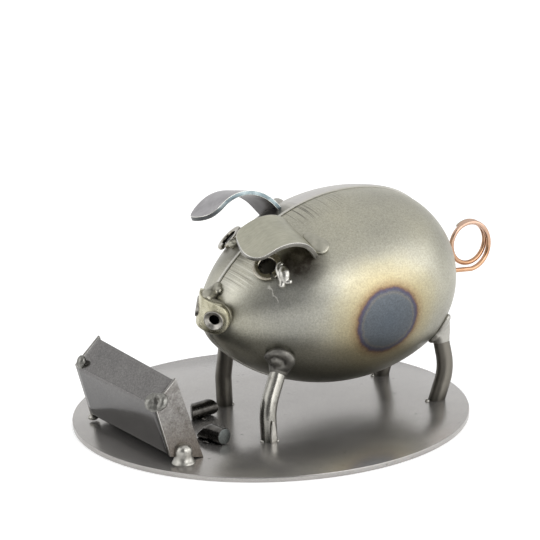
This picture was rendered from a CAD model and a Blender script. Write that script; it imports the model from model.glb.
from math import acos, atan2, cos, pi, radians, sin, sqrt, tan

import bmesh
import bpy
from mathutils import Matrix, Vector, noise


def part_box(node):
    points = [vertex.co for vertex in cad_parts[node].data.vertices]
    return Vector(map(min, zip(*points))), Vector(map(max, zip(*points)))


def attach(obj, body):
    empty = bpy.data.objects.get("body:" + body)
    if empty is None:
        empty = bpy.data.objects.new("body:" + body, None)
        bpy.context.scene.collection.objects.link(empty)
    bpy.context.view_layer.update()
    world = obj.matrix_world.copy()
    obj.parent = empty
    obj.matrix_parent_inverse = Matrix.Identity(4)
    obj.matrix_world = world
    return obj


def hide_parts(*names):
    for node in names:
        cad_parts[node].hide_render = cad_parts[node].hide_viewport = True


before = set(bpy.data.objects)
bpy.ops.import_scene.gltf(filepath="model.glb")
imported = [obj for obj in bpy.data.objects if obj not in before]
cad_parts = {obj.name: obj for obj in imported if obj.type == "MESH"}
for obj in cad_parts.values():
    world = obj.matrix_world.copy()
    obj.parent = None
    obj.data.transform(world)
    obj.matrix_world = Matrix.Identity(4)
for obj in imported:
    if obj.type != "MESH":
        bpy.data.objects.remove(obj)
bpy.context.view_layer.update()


# Base plate
# A disc cut from bare sheet steel, satin from the rolling mill, with its cut edge broken by a file.
# The legs, the trough and the feed bars are tacked to its top.
MM = 0.001


class Finish:
    """A node material in patches of a few tones, which are (position, colour) stops along a noise.

    It is evenly rough, or between two levels by the same noise. Relief is another noise and its height.
    """

    def __init__(self, name, patches, *tones, rough=0.4, margin=0.25, metallic=1.0, relief=None, stretch=None):
        self.material = bpy.data.materials.new(name)
        self.material.use_nodes = True
        self.tree = self.material.node_tree
        self.shader = self.tree.nodes["Principled BSDF"]
        self.shader.inputs["Metallic"].default_value = metallic
        scaled = self.node("ShaderNodeVectorMath", operation="SCALE")
        self.feed(scaled.inputs[0], self.node("ShaderNodeTexCoord").outputs["Object"])
        scaled.inputs["Scale"].default_value = 1 / MM
        self.place = scaled.outputs[0]
        self.patches = self.noise(*patches, self.stretched(stretch) if stretch else None)
        self.colour(self.ramp(self.patches, *tones))
        self.roughness(self.patches, rough, margin)
        if relief:
            *waves, height = relief
            self.bump(self.noise(*waves), height)

    def node(self, kind, **settings):
        made = self.tree.nodes.new(kind)
        for key, value in settings.items():
            setattr(made, key, value)
        return made

    def feed(self, socket, value):
        if isinstance(value, bpy.types.NodeSocket):
            self.tree.links.new(value, socket)
        elif isinstance(value, tuple) and len(value) == 3 and socket.type == "RGBA":
            socket.default_value = (*value, 1.0)
        else:
            socket.default_value = value

    def stretched(self, factors, turn=(0.0, 0.0, 0.0)):
        """The place in millimetres, turned, and scaled along each axis."""
        mapped = self.node("ShaderNodeMapping", vector_type="TEXTURE")
        self.feed(mapped.inputs["Vector"], self.place)
        mapped.inputs["Rotation"].default_value = turn
        mapped.inputs["Scale"].default_value = tuple(1 / factor for factor in factors)
        return mapped.outputs[0]

    def noise(self, scale, detail=3.0, rough=0.55, where=None):
        made = self.node("ShaderNodeTexNoise")
        self.feed(made.inputs["Vector"], where or self.place)
        for socket, value in (("Scale", scale), ("Detail", detail), ("Roughness", rough)):
            made.inputs[socket].default_value = value
        return made.outputs["Fac"]

    def ramp(self, value, *stops):
        """Colours or levels along a value, as (position, colour or level) stops."""
        made = self.node("ShaderNodeValToRGB")
        self.feed(made.inputs["Fac"], value)
        band = made.color_ramp
        while len(band.elements) < len(stops):
            band.elements.new(0.5)
        for element, (position, colour) in zip(band.elements, stops):
            element.position = position
            level = colour if isinstance(colour, tuple) else (colour,) * 3
            element.color = (*level, 1.0)
        return made.outputs["Color"]

    def speckle(self, scale, detail, rough, *levels):
        """Levels along a noise, as (position, level) stops."""
        return self.ramp(self.noise(scale, detail, rough), *levels)

    def mix(self, share, first, second, blend="MIX"):
        made = self.node("ShaderNodeMix", data_type="RGBA", blend_type=blend)
        for socket, value in (("Factor", share), (6, first), (7, second)):
            self.feed(made.inputs[socket], value)
        return made.outputs[2]

    def toned(self, colour, level, share=1.0):
        """A colour multiplied by a level or by another colour."""
        return self.mix(share, colour, level, "MULTIPLY")

    def math(self, operation, first, second=0.0):
        made = self.node("ShaderNodeMath", operation=operation)
        self.feed(made.inputs[0], first)
        self.feed(made.inputs[1], second)
        return made.outputs[0]

    def both(self, first, second):
        """The product of two shares."""
        return self.math("MULTIPLY", first, second)

    def span(self, value, low, high, to_low=0.0, to_high=1.0):
        """A value's stretch from low to high, laid on another stretch."""
        made = self.node("ShaderNodeMapRange")
        for socket, given in zip(made.inputs, (value, low, high, to_low, to_high)):
            self.feed(socket, given)
        return made.outputs[0]

    def wander(self, value, reach, waves, margin=0.25):
        """A value that wanders by a reach to either side, after a noise."""
        return self.math("ADD", value, self.span(waves, margin, 1 - margin, -reach, reach))

    def away(self, centre):
        """Distance in millimetres from a point."""
        made = self.node("ShaderNodeVectorMath", operation="DISTANCE")
        self.feed(made.inputs[0], self.place)
        made.inputs[1].default_value = tuple(centre)
        return made.outputs["Value"]

    def near(self, centre, full, none, most=1.0):
        """A share that is highest up to one distance from a point and fades out at another."""
        return self.span(self.away(centre), full, none, most, 0.0)

    def axis(self, letter):
        made = self.node("ShaderNodeSeparateXYZ")
        self.feed(made.inputs[0], self.place)
        return made.outputs[letter]

    def along(self, letter, low, high, to_low=0.0, to_high=1.0):
        """A level that changes from one place on an axis to another."""
        return self.span(self.axis(letter), low, high, to_low, to_high)

    def colour(self, value):
        self.feed(self.shader.inputs["Base Color"], value)

    def painted(self):
        return self.shader.inputs["Base Color"].links[0].from_socket

    def tone(self, level, share=1.0):
        """Multiplies what is painted so far."""
        self.colour(self.toned(self.painted(), level, share))

    def over(self, share, colour):
        """Lays a colour over what is painted so far."""
        self.colour(self.mix(share, self.painted(), colour))

    def roughness(self, waves, levels, margin=0.25):
        """Sets one level of roughness, or spreads a noise between two."""
        if isinstance(levels, tuple):
            levels = self.span(waves, margin, 1 - margin, *levels)
        self.feed(self.shader.inputs["Roughness"], levels)

    def bump(self, height, distance):
        """Adds relief, in millimetres, to what is there so far."""
        made = self.node("ShaderNodeBump")
        self.feed(made.inputs["Height"], height)
        made.inputs["Distance"].default_value = distance * MM
        made.inputs["Strength"].default_value = 1.0
        earlier = self.shader.inputs["Normal"]
        if earlier.is_linked:
            self.feed(made.inputs["Normal"], earlier.links[0].from_socket)
        self.feed(earlier, made.outputs[0])


def place_piece(name, form, finishes, node, crease=38.0):
    """Puts a finished piece on the figurine in place of its CAD node, from a form in millimetres.

    It is smooth but for edges sharper than the crease, in degrees.
    Where there are several finishes, the faces' material numbers pick them.
    """
    bmesh.ops.recalc_face_normals(form, faces=form.faces)
    for face in form.faces:
        face.smooth = True
    for edge in form.edges:
        edge.smooth = edge.calc_face_angle(0.0) < radians(crease)
    bmesh.ops.scale(form, vec=(MM, MM, MM), verts=form.verts)
    mesh = bpy.data.meshes.new(name)
    form.to_mesh(mesh)
    form.free()
    for finish in finishes if isinstance(finishes, tuple) else (finishes,):
        mesh.materials.append(finish.material)
    shown = bpy.data.objects.new(name, mesh)
    bpy.context.collection.objects.link(shown)
    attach(shown, "root")
    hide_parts(node)
    return shown


def joined_rows(rows, count):
    """A form of four-sided faces between rows of corners, the first count of them in each row."""
    form = bmesh.new()
    corners = [[form.verts.new(point) for point in row] for row in rows]
    for row, after in zip(corners, corners[1:]):
        for index in range(count):
            beside = (index + 1) % len(row)
            form.faces.new((row[index], row[beside], after[beside], after[index]))
    return form, corners


def loops_form(loops, closed_loops=True, closed_ends=False):
    """A form skinned over rows of points, each row closed into a ring or left open."""
    form, corners = joined_rows(loops, len(loops[0]) if closed_loops else len(loops[0]) - 1)
    if closed_ends:
        form.faces.new(corners[0])
        form.faces.new(corners[-1])
    return form


def spun_form(profile, steps):
    """A form turned once about Z from (radius, height) points."""
    angles = [2 * pi * step / steps for step in [*range(steps), 0]]
    rows = [[(radius * cos(angle), radius * sin(angle), height) for radius, height in profile]
            for angle in angles]
    form, _ = joined_rows(rows, len(profile) - 1)
    bmesh.ops.remove_doubles(form, verts=form.verts, dist=1e-5)
    return form


plate_low, plate_high = (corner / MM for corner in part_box("base_plate"))
plate_radius = plate_high.x
plate_top = plate_high.z
plate_edge = 0.22
plate_bevel = plate_edge * 0.3
plate_flat = plate_radius - plate_edge
plate_steps = 192
plate_profile = [(0, 0), (plate_flat, 0), (plate_radius - plate_bevel, plate_bevel), (plate_radius, plate_edge),
                 (plate_radius, plate_top - plate_edge), (plate_radius - plate_bevel, plate_top - plate_bevel),
                 (plate_flat, plate_top), (plate_radius / 2, plate_top), (0, plate_top)]

plate_steel = Finish("plate_steel", (0.05, 4.0, 0.6), (0.3, (0.345, 0.332, 0.317)),
                     (0.55, (0.385, 0.371, 0.355)), (0.75, (0.415, 0.400, 0.382)), rough=(0.21, 0.27),
                     metallic=0.78, relief=(2.5, 3.0, 0.7, 0.008))
plate_steel.tone(plate_steel.speckle(2.2, 3.0, 0.75, (0.34, 0.84), (0.66, 1.1)), 0.7)
smudges = plate_steel.speckle(0.45, 2.0, 0.5, (0.70, 0.0), (0.76, 0.5))
plate_steel.over(smudges, (0.10, 0.092, 0.085))
place_piece("plate", spun_form(plate_profile, plate_steps), plate_steel, "base_plate")


# Body halves
# Two deep-drawn half eggs of thin steel, met on the pig's middle plane and welded along the seam.
# The right half stands a little proud, and the seam was ground across before the heat tinted the flank.
body_length = 85.3
body_radius = 29.4
body_side_radius = 58.5
body_crown_offset = 5.0
body_pitch = radians(3.1)
body_wall = 1.2
seam_step = 0.45
seam_gap = 0.16
seam_round = 0.5
body_centre = Vector((17.9, -5.0, 38.2))
body_axis = Vector((cos(body_pitch), 0, sin(body_pitch)))
body_up = Vector((-sin(body_pitch), 0, cos(body_pitch)))
half_length = body_length / 2
side_drop = body_side_radius - body_radius
tail_gap = body_crown_offset - half_length
nose_gap = body_crown_offset + half_length
rear_radius = (body_side_radius**2 - tail_gap**2 - side_drop**2) / (2 * (body_side_radius + tail_gap))
nose_radius = (body_side_radius**2 - nose_gap**2 - side_drop**2) / (2 * (body_side_radius - nose_gap))
rear_centre = half_length - rear_radius
nose_centre = nose_radius - half_length
rear_joint = atan2(side_drop, rear_centre - body_crown_offset)
nose_joint = atan2(side_drop, nose_centre - body_crown_offset)
egg_steps = 120
egg_around = 72
rim_steps = (0.0, 0.12, 0.3, 0.55, 0.9, 1.6, 3.0)


def egg_outline(slope):
    """(station, radius, slope) on the egg's outline, which is a nose arc, a side arc and a rear arc."""
    if slope > nose_joint:
        return nose_centre + nose_radius * cos(slope), nose_radius * sin(slope), slope
    if slope < rear_joint:
        return rear_centre + rear_radius * cos(slope), rear_radius * sin(slope), slope
    return body_crown_offset + body_side_radius * cos(slope), body_side_radius * sin(slope) - side_drop, slope


def egg_point(outline, round_angle, side, lift):
    """Place and outward direction on the egg, at an angle round it from the top; side is -1 left, 1 right."""
    station, radius, slope = outline
    outward = body_up * cos(round_angle) + Vector((0, side * sin(round_angle), 0))
    facing = body_axis * cos(slope) + outward * sin(slope)
    return body_centre + body_axis * station + outward * radius + facing * lift, facing


def on_egg(station, degrees, side, lift=0.0):
    """Place and outward direction on the egg at a station along it."""
    if station < nose_centre + nose_radius * cos(nose_joint):
        slope = acos((station - nose_centre) / nose_radius)
    elif station > rear_centre + rear_radius * cos(rear_joint):
        slope = acos((station - rear_centre) / rear_radius)
    else:
        slope = acos((station - body_crown_offset) / body_side_radius)
    return egg_point(egg_outline(slope), radians(degrees), side, lift)


def body_half(side, inset):
    """One half egg with its wall, whose rim is rounded over beside the seam."""
    to_side = Vector((0, side * seam_gap / 2, 0))
    loops = []
    for step in range(egg_steps + 1):
        outline = egg_outline(pi * (1 - step / egg_steps))
        reach = max(outline[1] - inset, 0.02)
        edge = [min(distance / max(reach, 1.0), 0.45) for distance in rim_steps]
        inner = [edge[-1] + (pi - 2 * edge[-1]) * turn / egg_around for turn in range(1, egg_around)]
        loop = []
        for angle in edge + inner + [pi - angle for angle in reversed(edge)]:
            beside = min(angle, pi - angle) * reach
            drop = (seam_round - beside)**2 / (2 * seam_round) if beside < seam_round else 0.0
            loop.append(egg_point(outline, angle, side, -inset - drop)[0])
        loop += [egg_point(outline, angle, side, -inset - body_wall)[0] for angle in (pi, 0.0)]
        loops.append([point + to_side for point in loop])
    form = loops_form(loops)
    bmesh.ops.remove_doubles(form, verts=form.verts, dist=1e-4)
    return form


heat_place, _ = on_egg(2.9, 99.4, -1)
heat_reach = 24.0
cheek_place, _ = on_egg(-26.0, 76.0, -1)
body_steel = Finish("body_steel", (0.05, 4.0, 0.55), (0.3, (0.335, 0.326, 0.276)), (0.5, (0.390, 0.378, 0.312)),
                    (0.72, (0.435, 0.417, 0.332)), relief=(2.4, 4.0, 0.75, 0.012))
grain = body_steel.speckle(1.9, 4.0, 0.75, (0.34, 0.76), (0.66, 1.2))
belly = body_steel.ramp(body_steel.along("Z", 8.0, 40.0), (0.0, 0.30), (0.3, 0.50), (0.65, 0.72), (1.0, 1.0))
body_steel.tone(grain, 0.8)
body_steel.tone(belly)
body_steel.tone((0.76, 0.78, 0.86), body_steel.near(cheek_place, 5.0, 17.0))

# Heat tint: a blue-grey disc with a navy and purple rim, inside a gold and straw halo
heat_away = body_steel.wander(body_steel.away(heat_place), 0.45, body_steel.noise(0.5, 3.0, 0.6), 0.2)
halo_away = body_steel.wander(heat_away, 3.0, body_steel.noise(0.09, 3.0, 0.6), 0.2)
tint = body_steel.ramp(
    body_steel.math("DIVIDE", heat_away, heat_reach),
    (0.0, (0.105, 0.122, 0.142)), (0.345, (0.115, 0.128, 0.142)), (0.375, (0.150, 0.147, 0.140)),
    (0.405, (0.085, 0.087, 0.122)), (0.430, (0.105, 0.082, 0.105)), (0.450, (0.200, 0.132, 0.085)),
    (0.485, (0.325, 0.250, 0.145)), (0.57, (0.410, 0.355, 0.220)), (0.78, (0.405, 0.372, 0.262)),
    (1.0, (0.390, 0.372, 0.310)))
tint_share = body_steel.ramp(body_steel.math("DIVIDE", halo_away, heat_reach),
                             (0.50, 1.0), (0.75, 0.75), (1.0, 0.0))
body_steel.over(tint_share, body_steel.toned(body_steel.toned(tint, belly, 0.9), grain, 0.8))

# Soot under the ears and in the left eye
left_ear_soot, _ = on_egg(-19.5, 44.0, -1)
right_ear_soot, _ = on_egg(-14.0, 12.0, 1)
left_eye_seat = (-27.3, 36.0, -1)
under_left_ear = body_steel.both(body_steel.near(left_ear_soot, 4.0, 9.5, 0.97),
                                 body_steel.span(body_steel.noise(0.5, 3.0, 0.65), 0.3, 0.6, 0.8, 1.0))
under_right_ear = body_steel.both(body_steel.near(right_ear_soot, 2.0, 6.0, 0.95),
                                  body_steel.span(body_steel.noise(0.6, 3.0, 0.65), 0.3, 0.6, 0.4, 1.0))
body_steel.over(under_left_ear, (0.030, 0.024, 0.018))
body_steel.over(under_right_ear, (0.035, 0.030, 0.027))
body_steel.over(body_steel.near(on_egg(*left_eye_seat)[0], 2.4, 3.2, 0.92), (0.012, 0.010, 0.008))

# Grinding marks across the seam, and file marks on the worn nose
mark_place, _ = on_egg(-12.0, 10.0, -1)
nose_mark_place, _ = on_egg(-33.0, 18.0, -1)
nose_worn_place, _ = on_egg(-37.5, 12.0, -1)
file_slant = (0, radians(-38.0), 0)
beside_seam = body_steel.math("SUBTRACT", body_steel.axis("Y"), body_centre.y)
ground = body_steel.both(body_steel.span(body_steel.math("ABSOLUTE", beside_seam), 4.0, 11.0, 1.0, 0.0),
                         body_steel.near(mark_place, 12.0, 19.0))
across_seam = body_steel.noise(1.0, 2.0, 0.6, body_steel.stretched((1.9, 0.02, 0.05)))
by_nose = body_steel.near(nose_mark_place, 4.5, 8.0)
nose_file = body_steel.noise(1.0, 2.0, 0.6, body_steel.stretched((3.2, 0.05, 0.15), file_slant))
filed = body_steel.both(by_nose, body_steel.ramp(nose_file, (0.54, 0.0), (0.62, 0.5)))
scored = body_steel.both(by_nose, body_steel.ramp(nose_file, (0.37, 0.6), (0.45, 0.0)))
marks = body_steel.both(ground, body_steel.ramp(across_seam, (0.57, 0.0), (0.61, 0.85)))
body_steel.over(marks, (0.12, 0.112, 0.095))
body_steel.over(body_steel.near(nose_worn_place, 2.5, 9.5, 0.45), (0.57, 0.56, 0.49))
body_steel.over(filed, (0.68, 0.67, 0.60))
body_steel.over(scored, (0.20, 0.19, 0.165))

# A hair scratch under the eye, part of a wavering circle
scratch_place, _ = on_egg(-29.0, 61.0, -1)
scratch_centre, _ = on_egg(-41.0, 80.0, -1)
scratch_radius = (scratch_place - scratch_centre).length
off_scratch = body_steel.math("SUBTRACT", body_steel.away(scratch_centre), scratch_radius)
off_scratch = body_steel.wander(off_scratch, 0.6, body_steel.noise(0.6, 2.0))
scratched = body_steel.both(body_steel.span(body_steel.math("ABSOLUTE", off_scratch), 0.08, 0.24, 0.8, 0.0),
                            body_steel.near(scratch_place, 2.5, 3.2))
body_steel.over(scratched, (0.72, 0.70, 0.64))

# The right half beside the seam: paler on the crest, darker on the forehead, with a polished lip
right_half = body_steel.both(body_steel.span(beside_seam, 0.1, 0.8),
                             body_steel.span(beside_seam, 6.0, 16.0, 1.0, 0.0))
crest = body_steel.along("X", 4.0, 10.0, 0.0, 0.7)
forehead = body_steel.both(body_steel.along("X", -19.0, -11.0), body_steel.along("X", 3.0, 8.0, 0.7, 0.0))
lip = body_steel.both(body_steel.span(beside_seam, 0.0, 0.06),
                      body_steel.span(beside_seam, 0.5, 0.9, 0.75, 0.0))
body_steel.over(body_steel.both(right_half, crest), (0.62, 0.605, 0.60))
body_steel.over(body_steel.both(right_half, forehead), (0.13, 0.125, 0.115))
body_steel.over(lip, (0.60, 0.59, 0.55))
body_steel.roughness(body_steel.noise(0.3, 4.0, 0.65), (0.34, 0.44))
body_steel.bump(body_steel.noise(0.12, 2.0), 0.10)
for side, side_name, inset in ((1, "right", 0.0), (-1, "left", seam_step)):
    place_piece(f"{side_name}_body_half", body_half(side, inset), body_steel,
                f"body_{side_name}_half")


# Legs
# Four lengths of bright 5 mm round bar, bent by hand at the knee and cut off square.
# Each is welded to the belly at its top and tacked to the plate at its foot.
leg_bar = 5.0
leg_bend = 16.0
hip_reach = 12.0
leg_places = {
    "front_left": ((-8.3, -18.8, 22.6), (-15.2, -21.7, 11.2), (-15.8, -23.1)),
    "front_right": ((-9.0, 9.2, 22.6), (-8.8, 12.2, 11.4), (-7.6, 13.8)),
    "hind_left": ((49.2, -19.8, 21.4), (49.9, -22.0, 10.6), (44.3, -22.9)),
    "hind_right": ((48.0, 6.0, 21.4), (49.0, 7.6, 10.0), (45.8, 8.2)),
}


def rounded_run(start, corner, end, radius, steps=14):
    """Points from start to end, with the corner between them rounded to a bend."""
    first = (start - corner).normalized()
    second = (end - corner).normalized()
    half = first.angle(second) / 2
    middle = corner + (first + second).normalized() * (radius / sin(half))
    tangent = radius / tan(half)
    from_middle = (corner + first * tangent - middle).normalized()
    to_end = (corner + second * tangent - middle).normalized()
    bend = [middle + from_middle.slerp(to_end, step / steps) * radius for step in range(steps + 1)]
    lead = [start.lerp(bend[0], share) for share in (0.0, 0.4, 0.8)]
    tail = [bend[-1].lerp(end, share) for share in (0.3, 0.7, 1.0)]
    return lead + bend + tail


def tube_loops(path, radius, around=28):
    """Rings of points round a path, carried along it without twisting."""
    loops = []
    heading = (path[1] - path[0]).normalized()
    side = heading.orthogonal().normalized()
    for index, point in enumerate(path):
        before = path[max(index - 1, 0)]
        after = path[min(index + 1, len(path) - 1)]
        turned = (after - before).normalized()
        side = heading.rotation_difference(turned) @ side
        side = (side - turned * side.dot(turned)).normalized()
        heading = turned
        up = heading.cross(side)
        reach = radius[index] if isinstance(radius, list) else radius
        loops.append([point + (side * cos(2 * pi * step / around) + up * sin(2 * pi * step / around)) * reach
                      for step in range(around)])
    return loops


bar_steel = Finish("bar_steel", (0.9, 3.0, 0.5), (0.3, (0.26, 0.252, 0.228)), (0.55, (0.32, 0.312, 0.282)),
                   (0.75, (0.37, 0.362, 0.328)), relief=(0.5, 3.0, 0.6, 0.03), stretch=(1.2, 1.2, 0.12))
smuts = bar_steel.speckle(0.35, 3.0, 0.6, (0.56, 0.0), (0.70, 0.7))
far_and_hind = bar_steel.math("MAXIMUM", bar_steel.along("Y", 0.0, 8.0, 0.0, 0.7),
                              bar_steel.along("X", 20.0, 30.0, 0.0, 0.88))
foot_scorch = bar_steel.ramp(bar_steel.along("Z", plate_top, plate_top + 5.0),
                             (0.0, 0.35), (0.5, 0.8), (1.0, 1.0))
bar_steel.over(smuts, (0.19, 0.178, 0.16))
bar_steel.over(far_and_hind, (0.138, 0.127, 0.108))
bar_steel.tone(foot_scorch)
scorch_rough = bar_steel.both(far_and_hind, 0.2)
bar_rough = tuple(bar_steel.math("ADD", scorch_rough, level) for level in (0.22, 0.30))
bar_steel.roughness(bar_steel.patches, bar_rough)
for leg_name, (hip, knee, foot) in leg_places.items():
    hip, knee = Vector(hip), Vector(knee)
    inside = hip + (hip - knee).normalized() * hip_reach
    run = rounded_run(inside, knee, Vector((*foot, plate_top - leg_bar / 2)), leg_bend)
    down = (run[-1] - run[-2]).normalized()
    *rings, sole = tube_loops(run, leg_bar / 2)
    rings = [ring for ring in rings if min(point.z for point in ring) > plate_top]
    rings.append([point + down * ((plate_top - point.z) / down.z) for point in sole])
    place_piece(f"{leg_name}_bar", loops_form(rings, closed_ends=True), bar_steel,
                f"{leg_name}_leg")


# Snout
# A plated chain link of two plates and two bushes, bent round the nose with its left end lower.
# The bushes' dished mouths make the nostrils.
snout_bend_radius = 6.5
snout_bend = radians(38.0)
snout_roll = radians(16.0)
snout_bend_cuts = 24
snout_plate = 1.5
snout_back_plate = 1.3
snout_plate_gap = 0.7
snout_plate_edge = 0.25
snout_front = body_centre - body_axis * half_length + Vector((-4.0, -3.1, 3.7))
snout_across = Vector((0, cos(snout_roll), sin(snout_roll)))
snout_up = Vector((0, -sin(snout_roll), cos(snout_roll)))
nostril_reach = 0.6
nostril_bush = 6.2
nostril_bore = 3.1
nostril_proud = 0.4
nostril_dish = 0.75
nostril_hole = nostril_bush / 2 - 0.3


def shown_form(holder):
    """The form that an object shows with its bevel or modifiers; the object itself is taken away."""
    bpy.context.collection.objects.link(holder)
    seen = holder.evaluated_get(bpy.context.evaluated_depsgraph_get())
    shown = bpy.data.meshes.new_from_object(seen)
    bpy.data.objects.remove(holder)
    form = bmesh.new()
    form.from_mesh(shown)
    bpy.data.meshes.remove(shown)
    return form


def flat_outline(outline, holes, thickness, edge):
    """A flat plate with rounded edges and round holes, as a form lying on its middle plane."""
    drawn = bpy.data.curves.new("outline", "CURVE")
    drawn.dimensions = "2D"
    drawn.fill_mode = "BOTH"
    drawn.extrude = thickness / 2 - edge
    drawn.bevel_depth = edge
    drawn.bevel_resolution = 2
    drawn.offset = -edge
    for points in [outline, *holes]:
        spline = drawn.splines.new("POLY")
        spline.points.add(len(points) - 1)
        for knot, (x, y) in zip(spline.points, points):
            knot.co = (x, y, 0, 1)
        spline.use_cyclic_u = True
    form = shown_form(bpy.data.objects.new("outline", drawn))
    bmesh.ops.remove_doubles(form, verts=form.verts, dist=1e-4)
    return form


def cut_across(form, stations):
    """Cuts a flat form across at stations along it, so that it can bend there."""
    for station in stations:
        bmesh.ops.bisect_plane(form, geom=form.verts[:] + form.edges[:] + form.faces[:],
                               plane_co=(station, 0, 0), plane_no=(1, 0, 0))


def circle_points(middle, radius, steps=40):
    """Points of a circle about a place on the X axis."""
    return [(middle + radius * cos(2 * pi * step / steps), radius * sin(2 * pi * step / steps))
            for step in range(steps)]


def link_outline(pitch, end_radius, top, steps=28):
    """A chain plate's outline: two round ends, drawn up to a taller top edge."""
    end = []
    for step in range(steps + 1):
        angle = pi * (step / steps - 0.5)
        end.append((pitch + end_radius * cos(angle), (top if angle > 0 else end_radius) * sin(angle)))
    return end + [(-x, y) for x, y in reversed(end)]


def bent_link(outer, thickness, end_radius, top):
    """One chain plate, cut flat and bent round the nose."""
    middle = outer - thickness / 2
    arc = middle * snout_bend
    reach = arc + nostril_reach
    holes = [circle_points(side * reach, nostril_hole) for side in (-1, 1)]
    form = flat_outline(link_outline(reach, end_radius, top), holes, thickness, snout_plate_edge)
    cut_across(form, [arc * (2 * step / snout_bend_cuts - 1) for step in range(snout_bend_cuts + 1)])
    centre = snout_front + Vector((snout_bend_radius, 0, 0))
    for corner in form.verts:
        along, rise, out = corner.co
        past = max(abs(along) - arc, 0.0)
        turn = min(abs(along), arc) / middle
        aside = (middle + out) * sin(turn) + past * cos(snout_bend)
        ahead = (middle + out) * cos(turn) - past * sin(snout_bend)
        aside = aside if along >= 0 else -aside
        corner.co = centre + snout_across * aside + snout_up * rise + Vector((-ahead, 0, 0))
    return form


def moved(form, matrix):
    bmesh.ops.transform(form, matrix=matrix, verts=form.verts)
    return form


def turned_to(place, facing):
    """A matrix at a place, whose Z is the direction that it faces."""
    return Matrix.Translation(place) @ facing.to_track_quat("Z", "Y").to_matrix().to_4x4()


link_plating = Finish("link_plating", (0.35, 4.0, 0.65), (0.28, (0.30, 0.28, 0.19)), (0.48, (0.46, 0.435, 0.32)),
                      (0.7, (0.58, 0.555, 0.43)), rough=(0.34, 0.20), margin=0.2, relief=(1.4, 3.0, 0.6, 0.03))
link_plating.tone(link_plating.speckle(3.0, 3.0, 0.7, (0.3, 0.72), (0.7, 1.12)), 0.5)
dull_plating = Finish("dull_plating", (0.6, 4.0, 0.65), (0.3, (0.16, 0.15, 0.115)), (0.55, (0.27, 0.256, 0.20)),
                      (0.75, (0.40, 0.38, 0.30)), rough=0.42)
front_link = bent_link(snout_bend_radius, snout_plate, end_radius=4.6, top=5.6)
place_piece("snout_front", front_link, link_plating, "snout_front_plate")
back_bend_radius = snout_bend_radius - snout_plate - snout_plate_gap
back_link = bent_link(back_bend_radius, snout_back_plate, end_radius=4.7, top=5.2)
place_piece("snout_back", back_link, dull_plating, "snout_back_plate")

bush_depth = snout_plate + snout_back_plate
bush_out = nostril_bush / 2
bush_in = nostril_bore / 2
bush_steps = 48
dish_floor = nostril_proud - nostril_dish
bush_profile = [(0.0, -bush_depth), (bush_in, -bush_depth), (bush_in, dish_floor - 0.15),
                (bush_in + 0.08, dish_floor), (bush_in + 0.5, nostril_proud - nostril_dish * 0.72),
                (bush_out - 0.42, nostril_proud - 0.06), (bush_out - 0.28, nostril_proud),
                (bush_out - 0.08, nostril_proud - 0.05), (bush_out, nostril_proud - 0.2),
                (bush_out, -bush_depth)]
nostril_aside = snout_bend_radius * sin(snout_bend) + nostril_reach * cos(snout_bend)
nostril_ahead = snout_bend_radius * cos(snout_bend) - nostril_reach * sin(snout_bend)
for side, side_name in ((-1, "left"), (1, "right")):
    mouth = (snout_front + Vector((snout_bend_radius - nostril_ahead, 0, 0))
             + snout_across * (side * nostril_aside))
    facing = snout_across * (side * sin(snout_bend)) - Vector((cos(snout_bend), 0, 0))
    bush_steel = Finish(f"{side_name}_bush_steel", (1.1, 4.0, 0.65), (0.3, (0.27, 0.258, 0.235)),
                        (0.6, (0.40, 0.385, 0.35)), (0.8, (0.50, 0.485, 0.43)), rough=(0.28, 0.40),
                        relief=(1.1, 4.0, 0.65, 0.02))
    bush_steel.over(bush_steel.near(mouth - facing * 2.2, 1.95, 2.4), (0.006, 0.006, 0.006))
    bush = moved(spun_form(bush_profile, bush_steps), turned_to(mouth, facing))
    place_piece(f"{side_name}_nostril", bush, bush_steel, f"{side_name}_nostril_bush")


# Eyes
# Two split spring washers laid on the cheeks, each held by one tack beside it.
# The ends at the split stand apart, as a spring washer's do.
eye_outside = 9.2
eye_inside = 5.1
eye_thickness = 1.3
eye_edge = 0.45
eye_split = radians(14.0)
eye_twist = 0.55
eye_steps = 72
eye_crease = 25.0
left_eye, left_eye_facing = on_egg(*left_eye_seat, -seam_step)
right_eye, _ = on_egg(-24.5, 32.0, 1, 0.42)
right_eye_facing = Vector((-0.596, 0.349, 0.724)).normalized()
washer_steel = Finish("washer_steel", (0.9, 4.0, 0.65), (0.25, (0.23, 0.20, 0.15)), (0.5, (0.33, 0.31, 0.26)),
                      (0.78, (0.43, 0.415, 0.37)), rough=(0.14, 0.22))
in_holes = [washer_steel.near(place, 2.65, 2.9, 0.85) for place in (left_eye, right_eye)]
washer_steel.over(washer_steel.math("MAXIMUM", *in_holes), (0.05, 0.043, 0.035))


def tangent_frame(place, facing):
    """A matrix whose Z is the outward direction and whose X runs along the body towards the tail."""
    along = (body_axis - facing * body_axis.dot(facing)).normalized()
    return Matrix.Translation(place) @ Matrix((along, facing.cross(along), facing)).transposed().to_4x4()


def washer_form():
    """A split ring of square wire, its two ends twisted apart."""
    wide = (eye_outside - eye_inside) / 4 - eye_edge
    tall = eye_thickness / 2 - eye_edge
    middle = (eye_outside + eye_inside) / 4
    turns = (0.0, 0.5, 1.05, pi / 2)
    section = [(across * (wide + eye_edge * cos(turn)), up * (tall + eye_edge * sin(turn)))
               for across, up in ((1, 1), (-1, 1), (-1, -1), (1, -1))
               for turn in (turns if across == up else turns[::-1])]
    loops = []
    for step in range(eye_steps + 1):
        share = step / eye_steps
        angle = eye_split / 2 + (2 * pi - eye_split) * share
        height = eye_thickness / 2 + eye_twist * (share - 0.5)
        loops.append([Vector(((middle + x) * cos(angle), (middle + x) * sin(angle), height + z))
                      for x, z in section])
    return loops_form(loops, closed_ends=True)


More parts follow.
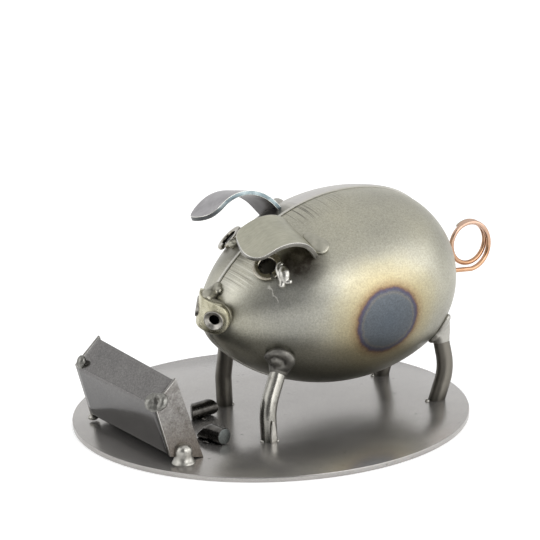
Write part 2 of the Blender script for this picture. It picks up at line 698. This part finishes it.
for side_name, place, facing, split_turn in (("left", left_eye, left_eye_facing, -96.0),
                                             ("right", right_eye, right_eye_facing, 196.0)):
    washer = moved(washer_form(), tangent_frame(place, facing) @ Matrix.Rotation(radians(split_turn), 4, "Z"))
    place_piece(f"{side_name}_eye", washer, washer_steel, f"{side_name}_eye_washer", eye_crease)


# Ears
# Two strips of sheet bent to an S and rounded at the tip, with the sheared edges left bright.
# The right one was tempered to a dull purple, with a bluish cut edge.
ear_thickness = 1.4
ear_edge = 0.14
ear_root_depth = 3.0
ear_crease = 30.0
ear_forms = {
    "left": dict(side=-1, root=Vector((2.4, -24.0, 54.6)), tilt=22.0, width=15.5,
                 cut=dict(near_corner=7.4, far_corner=3.2, skew=4.4, taper=1.0),
                 bends=dict(rise=55.0, stem=2.2, arch=12.0, fall=26.0, run=3.8, flick=12.0, tip_angle=0.0)),
    "right": dict(side=1, root=Vector((5.2, 12.4, 61.4)), tilt=11.5, width=13.5,
                  cut=dict(near_corner=6.3, far_corner=6.3, skew=0.0, taper=0.0),
                  bends=dict(rise=52.0, stem=2.0, arch=13.5, fall=33.0, run=3.4, flick=9.0, tip_angle=-8.0)),
}


def s_path(rise, stem, arch, fall, run, flick, tip_angle):
    """(reach, height) points of the strip's bent line, from its sunken root to its tip."""
    heading = radians(rise)
    x, z = -ear_root_depth * cos(heading), -ear_root_depth * sin(heading)
    points = [Vector((x, z))]
    stretches = ((ear_root_depth + stem, 0.0, 6), (arch, -radians(rise + fall), 20), (run, 0.0, 3),
                 (flick, radians(fall + tip_angle), 10))
    for size, turn, steps in stretches:
        stride = (size * abs(turn) if turn else size) / steps
        for _ in range(steps):
            heading += turn / steps / 2
            x += stride * cos(heading)
            z += stride * sin(heading)
            heading += turn / steps / 2
            points.append(Vector((x, z)))
    return points


def ear_outline(length, width, near_corner, far_corner, skew, taper, steps=16):
    """The strip's flat shape: square at the root, rounded at the tip, its far side narrowed and cut shorter."""
    outline = [(0.0, -width / 2), (0.0, width / 2)]
    for hand, rounding in ((1, near_corner), (-1, far_corner)):
        half = width / 2 if hand == 1 else width / 2 - taper
        arc = []
        for step in range(steps + 1):
            turn = pi / 2 * (1 - step / steps)
            aside = hand * (half - rounding + rounding * sin(turn))
            arc.append((length - rounding + rounding * cos(turn) - skew * (0.5 - aside / width), aside))
        outline += arc[::hand]
    return outline


def ear_form(side, root, tilt, width, cut, bends):
    """One ear with its thickness, bent along the S. Its faces are numbered sheet 0, cut rim 1 and edge 2."""
    lean = radians(tilt)
    across = Vector((0, cos(lean), -side * sin(lean))) * side
    normal = Vector((0, side * sin(lean), cos(lean)))
    middle = root - across * (width / 2)
    path = s_path(**bends)
    lengths = [0.0]
    for before, after in zip(path, path[1:]):
        lengths.append(lengths[-1] + (after - before).length)
    form = flat_outline(ear_outline(lengths[-1], width, **cut), [], ear_thickness, ear_edge)
    form.normal_update()
    for face in form.faces:
        upright = abs(face.normal.z)
        face.material_index = 0 if upright > 0.98 else 1 if upright < 0.2 else 2
    cut_across(form, lengths[1:-1])
    for corner in form.verts:
        along, aside, out = corner.co
        index = max(step for step, length in enumerate(lengths[:-1]) if length <= max(along, 0.0) + 1e-6)
        straight = (path[index + 1] - path[index]).normalized()
        ahead = path[min(index + 2, len(path) - 1)] - path[index + 1]
        heading = straight
        if ahead.length > 1e-6:
            share = (along - lengths[index]) / (lengths[index + 1] - lengths[index])
            behind = (path[index] - path[index - 1]).normalized() if index else straight
            heading = (behind * (1 - share) + straight + ahead.normalized() * share).normalized()
        point = path[index] + straight * (along - lengths[index]) + Vector((-heading.y, heading.x)) * out
        corner.co = middle + Vector((-point.x, 0, 0)) + normal * point.y + across * aside
    return form


def ear_finish(name, rough, dark, middle, pale):
    """A sheet finish of rolled steel with fine scratches along the strip."""
    finish = Finish(name, (0.16, 4.0, 0.6), (0.3, dark), (0.5, middle), (0.72, pale),
                    rough=(rough - 0.07, rough + 0.07))
    scratches = finish.noise(1.0, 3.0, 0.65, finish.stretched((0.25, 2.5, 1.0)))
    finish.tone(finish.ramp(scratches, (0.3, 0.78), (0.7, 1.12)), 0.6)
    finish.bump(scratches, 0.012)
    return finish


left_sheet = ear_finish("left_ear_sheet", 0.44, (0.36, 0.352, 0.288), (0.415, 0.406, 0.33),
                        (0.465, 0.452, 0.37))
right_sheet = ear_finish("right_ear_sheet", 0.42, (0.26, 0.25, 0.26), (0.36, 0.35, 0.36), (0.45, 0.44, 0.445))
left_rim = ear_finish("left_ear_edge", 0.40, (0.16, 0.155, 0.14), (0.24, 0.232, 0.21), (0.34, 0.33, 0.30))
right_rim = ear_finish("right_ear_edge", 0.34, (0.06, 0.075, 0.085), (0.17, 0.215, 0.23), (0.46, 0.53, 0.54))
bright_edge = ear_finish("bright_ear_edge", 0.24, (0.55, 0.54, 0.50), (0.66, 0.65, 0.61), (0.78, 0.77, 0.73))
burnt = (0.045, 0.040, 0.040)
right_rim.over(right_rim.along("X", -18.0, -11.0, 0.85, 0.0), burnt)
right_sheet.over(right_sheet.along("X", -4.0, 1.0, 0.0, 0.95), burnt)
for side_name, sheet, rim in (("left", left_sheet, left_rim), ("right", right_sheet, right_rim)):
    strip = ear_form(**ear_forms[side_name])
    place_piece(f"{side_name}_ear_strip", strip, (sheet, rim, bright_edge), f"{side_name}_ear",
                ear_crease)


# Tail
# One length of bare copper wire, wound on a mandrel into an open coil and tacked to the rump.
# Its cut end and the stretch beside the tack are greyed by solder.
tail_wire = 1.5
tail_coil_radius = 7.32
tail_coil_shrink = 0.85
tail_coil_drift = Vector((0.48, 1.67, 0.85))
tail_turns = 1.6
tail_steps = 110
tail_around = 20
tail_end = 0.25
tail_centre = Vector((71.47, -6.0, 41.42))
tail_lead = Vector((-12.0, 0, 1.4))


def coil_place(turns):
    """The wire's middle after a number of turns of the coil, which starts at the bottom."""
    angle = 2 * pi * turns
    radius = tail_coil_radius - tail_coil_shrink * turns
    return tail_centre + tail_coil_drift * turns + Vector((radius * sin(angle), 0, -radius * cos(angle)))


coil = [coil_place(tail_turns * step / tail_steps) for step in range(tail_steps + 1)]
lead = [coil[0] + tail_lead * share for share in (1.0, 0.75, 0.5, 0.25)]
wire_run = lead + coil + [coil[-1] + (coil[-1] - coil[-2]).normalized() * tail_end]
wire_radii = [tail_wire / 2] * (len(wire_run) - 2) + [tail_wire / 2 * 0.97, tail_wire / 2 * 0.7]
copper_wire = Finish("copper_wire", (0.25, 3.0, 0.5), (0.3, (0.37, 0.195, 0.105)), (0.5, (0.48, 0.275, 0.16)),
                     (0.7, (0.58, 0.36, 0.23)), rough=(0.18, 0.26))
soldered = copper_wire.math("MAXIMUM", copper_wire.along("Y", -3.75, -3.5),
                            copper_wire.along("X", 61.5, 64.5, 1.0, 0.0))
copper_wire.over(copper_wire.along("Z", 38.0, 48.0, 0.0, 0.75), (0.56, 0.40, 0.32))
copper_wire.over(soldered, (0.37, 0.345, 0.28))
tail_form = loops_form(tube_loops(wire_run, wire_radii, tail_around), closed_ends=True)
place_piece("tail_coil", tail_form, copper_wire, "tail_wire")


# Trough
# A strip of sheet folded to a channel, closed by two trapezoid plates, and tipped over on its lower lip.
# The welding has left brown mottling on its ends, and its upper edge is cut lower at the near end.
trough_length = 48.0
trough_bottom = 17.4
trough_side = 11.2
trough_flare = radians(27.0)
trough_lean = radians(15.0)
trough_yaw = radians(-1.8)
trough_sheet = 1.2
trough_margin = 0.5
trough_fold = 1.8
trough_fold_steps = 6
trough_steps = 30
trough_crease = 80.0
trough_near_cut = 1.4
channel_edge = 0.18
end_edge = 0.14
trough_lip = Vector((-38.2, 0.7, plate_top))
trough_ahead = Vector((cos(trough_yaw), sin(trough_yaw), 0))
trough_along = Vector((-sin(trough_yaw), cos(trough_yaw), 0))

# The section, drawn with X ahead and Y up from the lower lip
lower_run, upper_run = (Vector((cos(angle), sin(angle), 0))
                        for angle in (trough_lean - trough_flare, trough_lean + trough_flare))
bottom_run = Vector((-sin(trough_lean), cos(trough_lean), 0))
lower_tip = Vector((0, 0, 0))
lower_corner = lower_tip - lower_run * trough_side
upper_corner = lower_corner + bottom_run * trough_bottom
upper_tip = upper_corner + upper_run * trough_side
bottom_middle = (lower_corner + upper_corner) / 2
trough_middle = (lower_tip + lower_corner + upper_corner + upper_tip) / 4


def in_trough(section, station):
    """A point of the trough's section, carried to a station along it."""
    return trough_lip + trough_ahead * section.x + Vector((0, 0, section.y)) + trough_along * station


def cut_down(point, near_share):
    """A point of the section, whose upper side is cut shorter towards the trough's near end."""
    reach = max((point - upper_corner).dot(upper_run), 0.0) / trough_side
    return point - upper_run * (trough_near_cut * reach * near_share)


def thickened(shown, thickness, edge):
    """Gives a sheet its thickness and breaks its edges."""
    solid = shown.modifiers.new("sheet", "SOLIDIFY")
    solid.thickness = thickness * MM
    solid.offset = 0.0
    solid.use_even_offset = True
    broken = shown.modifiers.new("edges", "BEVEL")
    broken.width = edge * MM
    broken.segments = 2
    broken.limit_method = "ANGLE"
    broken.angle_limit = radians(50)


trough_steel = Finish("trough_steel", (0.10, 4.0, 0.6), (0.3, (0.155, 0.150, 0.147)),
                      (0.5, (0.170, 0.164, 0.160)), (0.72, (0.19, 0.184, 0.178)), rough=(0.12, 0.16),
                      relief=(2.2, 3.0, 0.7, 0.002))
trough_low = trough_steel.ramp(trough_steel.along("Z", plate_top, plate_top + 20.0),
                               (0.0, 0.36), (0.5, 0.44), (0.85, 0.60), (0.97, 1.0))
trough_steel.tone(trough_steel.speckle(1.8, 4.0, 0.75, (0.36, 0.58), (0.64, 1.36)), 0.7)
trough_steel.tone(trough_low)
sheet_in = trough_sheet / 2
lower_in, upper_in = ((trough_middle - corner).normalized() * sheet_in
                      for corner in (lower_corner, upper_corner))
fold_low = rounded_run(lower_tip - lower_run * trough_margin + bottom_run * sheet_in * 0.9,
                       lower_corner + lower_in, bottom_middle + lower_in * 0.8, trough_fold, trough_fold_steps)
fold_high = rounded_run(bottom_middle + upper_in * 0.8, upper_corner + upper_in,
                        upper_tip - upper_run * trough_margin - bottom_run * sheet_in * 0.9,
                        trough_fold, trough_fold_steps)
fold = fold_low[:-1] + fold_high
channel_half = trough_length / 2 - trough_sheet
channel_rows = []
for step in range(trough_steps + 1):
    station = channel_half * (2 * step / trough_steps - 1)
    channel_rows.append([in_trough(cut_down(point, 0.5 - station / trough_length), station) for point in fold])
channel = place_piece("trough_fold", loops_form(channel_rows, closed_loops=False), trough_steel,
                      "trough_channel", trough_crease)
thickened(channel, trough_sheet, channel_edge)

end_steel = Finish("trough_end_steel", (0.45, 4.0, 0.7), (0.32, (0.150, 0.138, 0.126)), (0.5, (0.22, 0.21, 0.198)),
                   (0.7, (0.28, 0.27, 0.257)), rough=(0.34, 0.44), relief=(2.0, 4.0, 0.7, 0.012))
end_steel.over(end_steel.along("Z", plate_top, plate_top + 14.0, 0.75, 0.0), (0.18, 0.152, 0.125))
end_steel.tone(end_steel.speckle(1.9, 4.0, 0.75, (0.36, 0.62), (0.64, 1.25)), 0.8)
above_end = Vector((-upper_run.y, upper_run.x, 0))
for side, side_name in ((-1, "left"), (1, "right")):
    end_corners = (lower_tip, cut_down(upper_tip, 0.5 - side / 2), upper_corner, lower_corner)
    end = flat_outline([(point.x, point.y) for point in end_corners], [], trough_sheet, end_edge)
    end.normal_update()
    for face in end.faces:
        bright = face.normal.dot(above_end) > 0.3 and abs(face.normal.z) > 0.2
        face.material_index = 1 if bright else 0
    for corner in end.verts:
        section = Vector((corner.co.x, corner.co.y, 0))
        corner.co = in_trough(section, side * (trough_length / 2 - sheet_in) + corner.co.z)
    place_piece(f"trough_{side_name}_plate", end, (end_steel, bright_edge),
                f"trough_{side_name}_end")


# Feed bars
# Two offcuts of round bar, black with mill scale, lying before the trough, each held to the plate by one tack.
# Shears bit the upper one off aslant at both ends; the lower one is sheared at its far end and sawn at the near one.
feed_bar = 5.0
feed_bite = radians(35.0)
feed_slope = radians(45.0)
feed_around = 36
feed_hub = 0.3
feed_crease = 30.0
feed_runs = {
    "upper": (Vector((-26.3, 7.0, 0)), Vector((-14.1, 8.6, 0)), True),
    "lower": (Vector((-30.0, -6.6, 0)), Vector((-28.1, -18.0, 0)), False),
}
upward = Vector((0, 0, 1))
feed_steel = Finish("feed_steel", (0.5, 4.0, 0.7), (0.3, (0.050, 0.047, 0.043)), (0.55, (0.095, 0.090, 0.083)),
                    (0.75, (0.17, 0.162, 0.15)), rough=(0.34, 0.22), margin=0.3, relief=(1.2, 3.0, 0.6, 0.03))
sawn_face = Finish("sawn_face", (1.8, 3.0, 0.7), (0.32, (0.085, 0.093, 0.090)), (0.6, (0.155, 0.167, 0.162)),
                   (0.75, (0.22, 0.23, 0.225)), rough=(0.42, 0.54), margin=0.3)
for feed_name, (start, end, bitten) in feed_runs.items():
    radius = feed_bar / 2
    length = (end - start).length
    along = (end - start).normalized()
    beside = along.cross(upward)
    first_end = ((0.0, feed_hub), (0.0, radius - 0.45), (0.12, radius - 0.15), (0.35, radius))
    last_end = [(length - inset, reach) for inset, reach in reversed(first_end)]
    rings = []
    for inset, reach in [*first_end, (length / 2, radius), *last_end]:
        ring = []
        for step in range(feed_around):
            angle = 2 * pi * step / feed_around
            out = beside * cos(angle) * reach + upward * sin(angle) * reach
            slant = radius - out.dot(beside) * tan(feed_bite)
            move = inset
            if inset < length / 2:
                move += slant if bitten else (radius + out.z) * tan(feed_slope)
            elif inset > length / 2 and bitten:
                move -= slant
            ring.append(start + upward * (plate_top + radius) + out + along * move)
        rings.append(ring)
    form = loops_form(rings, closed_ends=True)
    for face in form.faces:
        sawn = not bitten and (face.calc_center_median() - start).dot(along) > length - 0.1
        face.material_index = 1 if sawn else 0
    place_piece(f"{feed_name}_feed", form, (feed_steel, sawn_face), f"{feed_name}_feed_bar",
                feed_crease)


# Welds and tacks
# Beads of weld metal, run in lumps round each joint, smooth and grey as they set.
# A lump is a ball pressed flat on the piece that it lies on, and neighbouring lumps flow together.
weld_voxel = 0.18
weld_smooth = 180.0
ripple_scale = 0.5
weld_metal = Finish("weld_metal", (0.5, 4.0, 0.65), (0.28, (0.30, 0.29, 0.265)), (0.45, (0.37, 0.36, 0.33)),
                    (0.7, (0.43, 0.42, 0.385)), rough=(0.38, 0.30), margin=0.3, relief=(0.7, 3.0, 0.6, 0.02))
bright_weld = Finish("bright_weld", (0.6, 3.0, 0.6), (0.3, (0.36, 0.35, 0.32)), (0.6, (0.50, 0.49, 0.455)),
                     (0.8, (0.60, 0.59, 0.55)), rough=0.30, relief=(0.8, 3.0, 0.6, 0.03))
fillet_metal = Finish("fillet_metal", (0.5, 3.0, 0.6), (0.3, (0.31, 0.303, 0.255)), (0.55, (0.38, 0.368, 0.308)),
                      (0.78, (0.45, 0.433, 0.366)), rough=0.42, relief=(1.2, 3.0, 0.6, 0.02))
fillet_metal.over(fillet_metal.near(right_eye, 2.2, 2.7, 0.95), (0.02, 0.017, 0.014))
scorched_weld = Finish("scorched_weld", (0.5, 4.0, 0.65), (0.3, (0.125, 0.12, 0.108)),
                       (0.52, (0.175, 0.169, 0.153)), (0.75, (0.23, 0.222, 0.20)), rough=0.48,
                       relief=(0.9, 3.0, 0.6, 0.02))


def lump(place, facing, radius, flat=1.0):
    """A ball of weld metal pressed flat along the direction that it faces."""
    return turned_to(place, facing) @ Matrix.Diagonal((radius, radius, radius * flat, 1.0))


def skin_lump(side, station, degrees, radius, flat=0.55, lift=0.0):
    """A lump lying on the body."""
    place, facing = on_egg(station, degrees, side, lift)
    return lump(place, facing, radius, flat)


def skin_run(first, last, steps, flat):
    """Lumps on the body's left side, from one (station, degrees, radius) to another."""
    lumps = []
    for share in (step / steps for step in range(steps + 1)):
        station, degrees, radius = (low + (high - low) * share for low, high in zip(first, last))
        lumps.append(skin_lump(-1, station, degrees, radius, flat))
    return lumps


def leg_run(leg_name, *sizes):
    """Lumps round a leg below its hip, as (reach, girth) sizes."""
    hip, knee = (Vector(place) for place in leg_places[leg_name][:2])
    down = (knee - hip).normalized()
    return [lump(hip + down * reach, down, girth) for reach, girth in sizes]


def bead(node, lumps, ripple=0.08, finish=weld_metal, easing=8):
    """Lumps run together into one bead with a slightly rippled skin."""
    name = f"{node}_bead"
    form = bmesh.new()
    for placed in lumps:
        bmesh.ops.create_icosphere(form, subdivisions=3, radius=1.0, matrix=placed)
    balls = bpy.data.meshes.new(name)
    form.to_mesh(balls)
    form.free()
    holder = bpy.data.objects.new(name, balls)
    fused = holder.modifiers.new("fused", "REMESH")
    fused.mode = "VOXEL"
    fused.voxel_size = weld_voxel
    eased = holder.modifiers.new("eased", "SMOOTH")
    eased.factor = 0.5
    eased.iterations = easing
    form = shown_form(holder)
    bpy.data.meshes.remove(balls)
    form.normal_update()
    for corner in form.verts:
        corner.co += corner.normal * noise.fractal(corner.co * ripple_scale, 1.0, 2.0, 2) * ripple
    place_piece(name, form, finish, node, weld_smooth)


def bead_middle(node):
    low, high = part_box(node)
    return (low + high) / 2 / MM


# Legs: a curl of bead round the top of the near front leg, a cone on the near hind one, collars on the far two
curl_place, curl_facing = on_egg(-28.4, 125.0, -1, 0.3)
curl_frame = tangent_frame(curl_place, curl_facing)
curl_run = [(-0.9, -0.7, 1.7, 0.8), (0.2, -1.2, 1.8, 0.8)]
for step in range(26):
    turn = radians(175 - 10 * step)
    curl_run.append((3.3 * cos(turn), 3.0 * sin(turn), 1.15 + 0.035 * step, 0.9))
front_curl = [skin_lump(-1, -28.4, 126.0, 4.0, 0.45), skin_lump(-1, -27.4, 131.0, 3.9, 0.5)]
front_curl += [lump(curl_frame @ Vector((x, y, 0.9)), curl_facing, girth, flat)
               for x, y, girth, flat in curl_run]
bead("front_left_leg_weld", front_curl + leg_run("front_left", (0.0, 3.5), (1.0, 3.1), (1.8, 2.85)),
     finish=scorched_weld, easing=14)
hind_cone = leg_run("hind_left", (-2.5, 3.7), (-1.2, 3.5), (0.0, 3.25), (1.0, 3.0), (1.9, 2.75))
bead("hind_left_leg_weld", skin_run((28.6, 143.0, 2.6), (31.0, 127.0, 1.8), 9, 0.6) + hind_cone, easing=14)
for leg_name, station, degrees in (("front_right", -27.65, 133.8), ("hind_right", 29.25, 151.5)):
    bead(f"{leg_name}_leg_weld",
         [skin_lump(1, station, degrees, 3.6, 0.8), skin_lump(1, station + 2, degrees - 3, 2.6),
          skin_lump(1, station - 2, degrees - 2, 2.5), skin_lump(1, station, degrees - 6, 2.4)])

# Feet: a thin fillet round each bar, and a drip down the side of the near front one
fillet_reach = leg_bar * 0.44
drip_facing = Vector((0.05, -1.0, 0)).normalized()
drip_sizes = ((0.6, 1.3), (1.4, 1.3), (2.2, 1.2), (3.0, 1.15), (3.8, 1.05), (4.6, 0.95), (5.4, 0.8), (6.1, 0.6))
for leg_name, (_, _, foot) in leg_places.items():
    foot_place = Vector((*foot, plate_top))
    lumps = [lump(foot_place + Vector((cos(turn), sin(turn), 0)) * fillet_reach, upward, 0.8, 0.8)
             for turn in (radians(degrees) for degrees in (-40, -20, 60, 170))]
    if leg_name == "front_left":
        lumps += [lump(foot_place + drip_facing * 2.3 + upward * height, drip_facing, girth, 0.4)
                  for height, girth in drip_sizes]
    bead(f"{leg_name}_foot_tack", lumps, 0.05, bright_weld)

# Face: the lump that bridges the nose seam and the snout plate
snout_run = [on_egg(-38.2, 4.0, -1)[0], on_egg(-39.4, 5.0, -1, 0.3)[0], Vector((-24.2, -6.4, 44.5)),
             Vector((-25.6, -7.6, 44.7)), Vector((-26.9, -8.8, 44.3)), Vector((-27.7, -9.7, 43.2))]
snout_girths = (1.1, 1.6, 2.0, 2.0, 1.6, 1.0)
snout_lumps = [skin_lump(-1, -39.0, 12.0, 1.4, 0.7, 0.2)]
for place, after, girth, girth_after in zip(snout_run, snout_run[1:], snout_girths, snout_girths[1:]):
    snout_lumps += [lump(place.lerp(after, share), upward, girth * (1 - share) + girth_after * share)
                    for share in (0.0, 0.25, 0.5, 0.75)]
bead("snout_weld", snout_lumps, 0.03, fillet_metal, 16)

# Eyes: a drip of a strand and a lobe under the left one, and a tack in and beside the right one
eye_frame = tangent_frame(left_eye, left_eye_facing)
eye_strand = ((3.5, -2.1), (3.0, -2.1), (2.5, -2.4), (2.1, -2.9), (1.9, -3.4), (1.7, -3.9), (1.55, -4.4),
              (1.45, -5.0), (1.35, -5.6), (1.2, -6.2), (0.9, -6.8), (0.45, -7.4))
eye_lobe = ((3.3, -3.7, 1.1), (3.2, -4.3, 1.5), (3.0, -4.9, 1.75), (2.7, -5.5, 1.7), (2.3, -6.1, 1.4),
            (2.0, -6.7, 1.1), (2.1, -7.3, 0.8), (2.5, -7.7, 0.75), (3.0, -7.9, 0.8), (2.3, -4.6, 1.0),
            (2.1, -5.2, 1.1), (1.8, -5.9, 1.0))
eye_drip = [lump(eye_frame @ Vector((x, y, 1.3 + 0.2 * y)), left_eye_facing, 0.95) for x, y in eye_strand]
eye_drip += [lump(eye_frame @ Vector((x, y, 1.7 + 0.22 * y)), left_eye_facing, girth, 0.85)
             for x, y, girth in eye_lobe]
bead("left_eye_tack", eye_drip, 0.02, bright_weld, 7)
bead("right_eye_tack", [skin_lump(1, -27.5, 16.0, 1.5, 1.0, 0.8), skin_lump(1, -27.0, 19.5, 1.1, 1.0, 0.3),
                        lump(right_eye + right_eye_facing * 0.1, right_eye_facing, 2.5, 0.25)],
     0.02, fillet_metal, 5)

# Ears and tail: a smooth pad under the left ear, and small tacks at the right one and at the wire
bead("left_ear_weld", skin_run((-12.2, 41.5, 2.7), (-13.7, 31.5, 1.6), 8, 0.26), 0.03, fillet_metal, 14)
ear_seat = bead_middle("right_ear_weld")
bead("right_ear_weld", [lump(ear_seat, upward, 2.2, 0.7),
                        lump(ear_seat + Vector((0.9, 0.6, -0.4)), upward, 1.5, 0.7)], 0.05)
tail_seat = bead_middle("tail_tack")
bead("tail_tack", [lump(tail_seat, body_axis, 1.7, 0.8),
                   lump(tail_seat + Vector((0.5, 0.4, 0.5)), body_axis, 1.1)], 0.05)


def corner_seat(side, turn_out, inboard):
    """Place and facing of a tack on one of the trough's upper corners."""
    facing = (in_trough(upper_corner, 0) - in_trough(trough_middle, 0)).normalized()
    facing = (facing + trough_along * side * turn_out).normalized()
    place = in_trough(upper_corner + upper_run * 0.9, side * (trough_length / 2 - inboard))
    return place + facing * 0.2, facing


# Trough: a dark, flat curl on its near upper corner, a tack on the far one, and a bell of bead at its near foot
near_seat, near_facing = corner_seat(-1, 0.8, 0.4)
curl_weld = Finish("curl_weld", (0.9, 4.0, 0.65), (0.3, (0.14, 0.137, 0.125)), (0.5, (0.20, 0.197, 0.182)),
                   (0.72, (0.28, 0.277, 0.255)), rough=(0.42, 0.30), margin=0.3)
off_middle = curl_weld.wander(curl_weld.away(near_seat + near_facing * 0.5), 1.0, curl_weld.noise(0.45, 2.0))
curl_weld.over(curl_weld.span(off_middle, 0.5, 1.4, 0.8, 0.0), (0.045, 0.042, 0.038))
curl_weld.bump(curl_weld.math("SINE", curl_weld.math("MULTIPLY", off_middle, 3.6)), 0.025)
curl_across = (trough_ahead - trough_along * 0.6).normalized()
curl_across = (curl_across - near_facing * curl_across.dot(near_facing)).normalized()
curl_beside = near_facing.cross(curl_across)
corner_curl = [lump(near_seat - curl_across * 0.6, near_facing, 3.0, 0.24)]
for step in range(30):
    turn = radians(12 * step)
    reach = 1.9 + 0.5 * noise.noise(Vector((step * 0.25, 3.0, 0.0)))
    girth = 0.75 + 0.75 * max(cos(turn - 0.2), 0.0) + 0.35 * noise.noise(Vector((step * 0.3, 0.0, 0.0)))
    place = near_seat + (curl_across * cos(turn) + curl_beside * sin(turn)) * reach
    corner_curl.append(lump(place, near_facing, girth, 0.75))
bead("trough_left_tack", corner_curl, 0.08, curl_weld, 6)
far_seat, far_facing = corner_seat(1, -0.5, 3.2)
bead("trough_right_tack", [lump(far_seat + upward * rise, far_facing, girth, 0.7) for rise, girth in
                           ((-0.5, 1.1), (0.1, 1.4), (0.7, 1.6), (1.3, 1.4), (1.8, 1.1))], 0.05, curl_weld)
near_foot = bead_middle("trough_left_base_weld")
near_foot.z = plate_top
bell = []
for step in range(14):
    height = 0.4 * step
    skirt = 0.9 * max(1 - height / 2.4, 0.0)**2
    dome = sqrt(1 - (max(height - 3.4, 0.0) / 2.4)**2)
    bell.append(lump(near_foot + upward * height, upward, (2.7 + skirt) * dome, 0.35))
bead("trough_left_base_weld", bell, 0.06, weld_metal, 10)
far_foot = bead_middle("trough_right_base_weld")
bead("trough_right_base_weld", [lump(far_foot, upward, 1.7, 0.6),
                                lump(far_foot + Vector((0.8, 0.3, -0.2)), upward, 1.2, 0.6)], 0.05)

# Feed bars: a dark tack under each
for feed_name in feed_runs:
    seat = bead_middle(f"{feed_name}_feed_tack")
    bead(f"{feed_name}_feed_tack", [lump(seat - upward * 0.3, upward, 1.1, 0.5),
                                    lump(seat + Vector((0.5, 0.5, -0.3)), upward, 0.9, 0.5)], 0.05, feed_steel)


# Studio
# A pale floor without a visible edge, an even white surround that dims behind the camera, and three soft lamps.
# The camera stands where the photographer stood, a little above the plate, with a long lens.
camera_target = Vector((0.981, -0.638, 45.842)) * MM
camera_distance = 1.1
camera_turn = radians(33.035)
camera_rise = radians(16.445)
camera_roll = radians(1.864)
camera_lens = 245.14
camera_sensor = 36.0
floor_half = 6.0
floor_drop = 0.05
floor_glow = 0.3
scene = bpy.context.scene
scene.view_settings.view_transform = "Standard"
back = Vector((-cos(camera_rise) * sin(camera_turn), -cos(camera_rise) * cos(camera_turn), sin(camera_rise)))
level = Vector((cos(camera_turn), -sin(camera_turn), 0))
upright = back.cross(level)
camera_up = upright * cos(camera_roll) + level * sin(camera_roll)
camera_right = level * cos(camera_roll) - upright * sin(camera_roll)
lens = bpy.data.cameras.new("camera")
lens.lens = camera_lens
lens.sensor_width = camera_sensor
camera = bpy.data.objects.new("camera", lens)
camera.matrix_world = (Matrix.Translation(camera_target + back * camera_distance)
                       @ Matrix((camera_right, camera_up, back)).transposed().to_4x4())
bpy.context.collection.objects.link(camera)
scene.camera = camera


def soft_lamp(name, azimuth, elevation, wide, tall, power, distance=0.9):
    """A lamp facing the figurine from a direction, azimuth 0 being in front of its left side."""
    turn, rise = radians(azimuth), radians(elevation)
    away = Vector((sin(turn) * cos(rise), -cos(turn) * cos(rise), sin(rise)))
    lamp = bpy.data.lights.new(name, "AREA")
    lamp.shape = "RECTANGLE"
    lamp.size = wide
    lamp.size_y = tall
    lamp.energy = power
    holder = bpy.data.objects.new(name, lamp)
    holder.location = camera_target + away * distance
    holder.rotation_euler = away.to_track_quat("Z", "Y").to_euler()
    bpy.context.collection.objects.link(holder)


soft_lamp("key_lamp", 28.0, 17.0, wide=1.5, tall=0.5, power=3.8)
soft_lamp("front_lamp", 0.0, 25.0, wide=0.25, tall=0.4, power=0.7)
soft_lamp("left_lamp", -100.0, 25.0, wide=0.6, tall=0.6, power=1.2)

world = bpy.data.worlds.new("surround")
scene.world = world
world.use_nodes = True
room = world.node_tree
facing = room.nodes.new("ShaderNodeVectorMath")
facing.operation = "DOT_PRODUCT"
room.links.new(room.nodes.new("ShaderNodeTexCoord").outputs["Generated"], facing.inputs[0])
facing.inputs[1].default_value = back
dimming = room.nodes.new("ShaderNodeMapRange")
room.links.new(facing.outputs["Value"], dimming.inputs["Value"])
for socket, brightness in (("From Min", 0.72), ("From Max", 0.94), ("To Min", 1.0), ("To Max", 0.15)):
    dimming.inputs[socket].default_value = brightness
surround = room.nodes["Background"]
surround.inputs["Color"].default_value = (1.0, 1.0, 1.0, 1.0)
room.links.new(dimming.outputs["Result"], surround.inputs["Strength"])

floor_form = bmesh.new()
bmesh.ops.create_grid(floor_form, x_segments=1, y_segments=1, size=floor_half)
floor_mesh = bpy.data.meshes.new("floor")
floor_form.to_mesh(floor_mesh)
floor_form.free()
floor = bpy.data.objects.new("floor", floor_mesh)
floor.location.z = (plate_low.z - floor_drop) * MM
bpy.context.collection.objects.link(floor)
floor_white = Finish("floor_white", (0.002, 3.0, 0.55), (0.3, (0.90, 0.90, 0.90)), (0.7, (0.92, 0.92, 0.92)),
                     rough=0.9, metallic=0.0)
ray = floor_white.node("ShaderNodeLightPath").outputs
seen = floor_white.math("MAXIMUM", ray["Is Camera Ray"],
                        floor_white.math("MAXIMUM", ray["Is Glossy Ray"], ray["Is Transmission Ray"]))
floor_white.feed(floor_white.shader.inputs["Emission Color"], (1.0, 1.0, 1.0))
floor_white.feed(floor_white.shader.inputs["Emission Strength"], floor_white.both(seen, floor_glow))
floor_mesh.materials.append(floor_white.material)
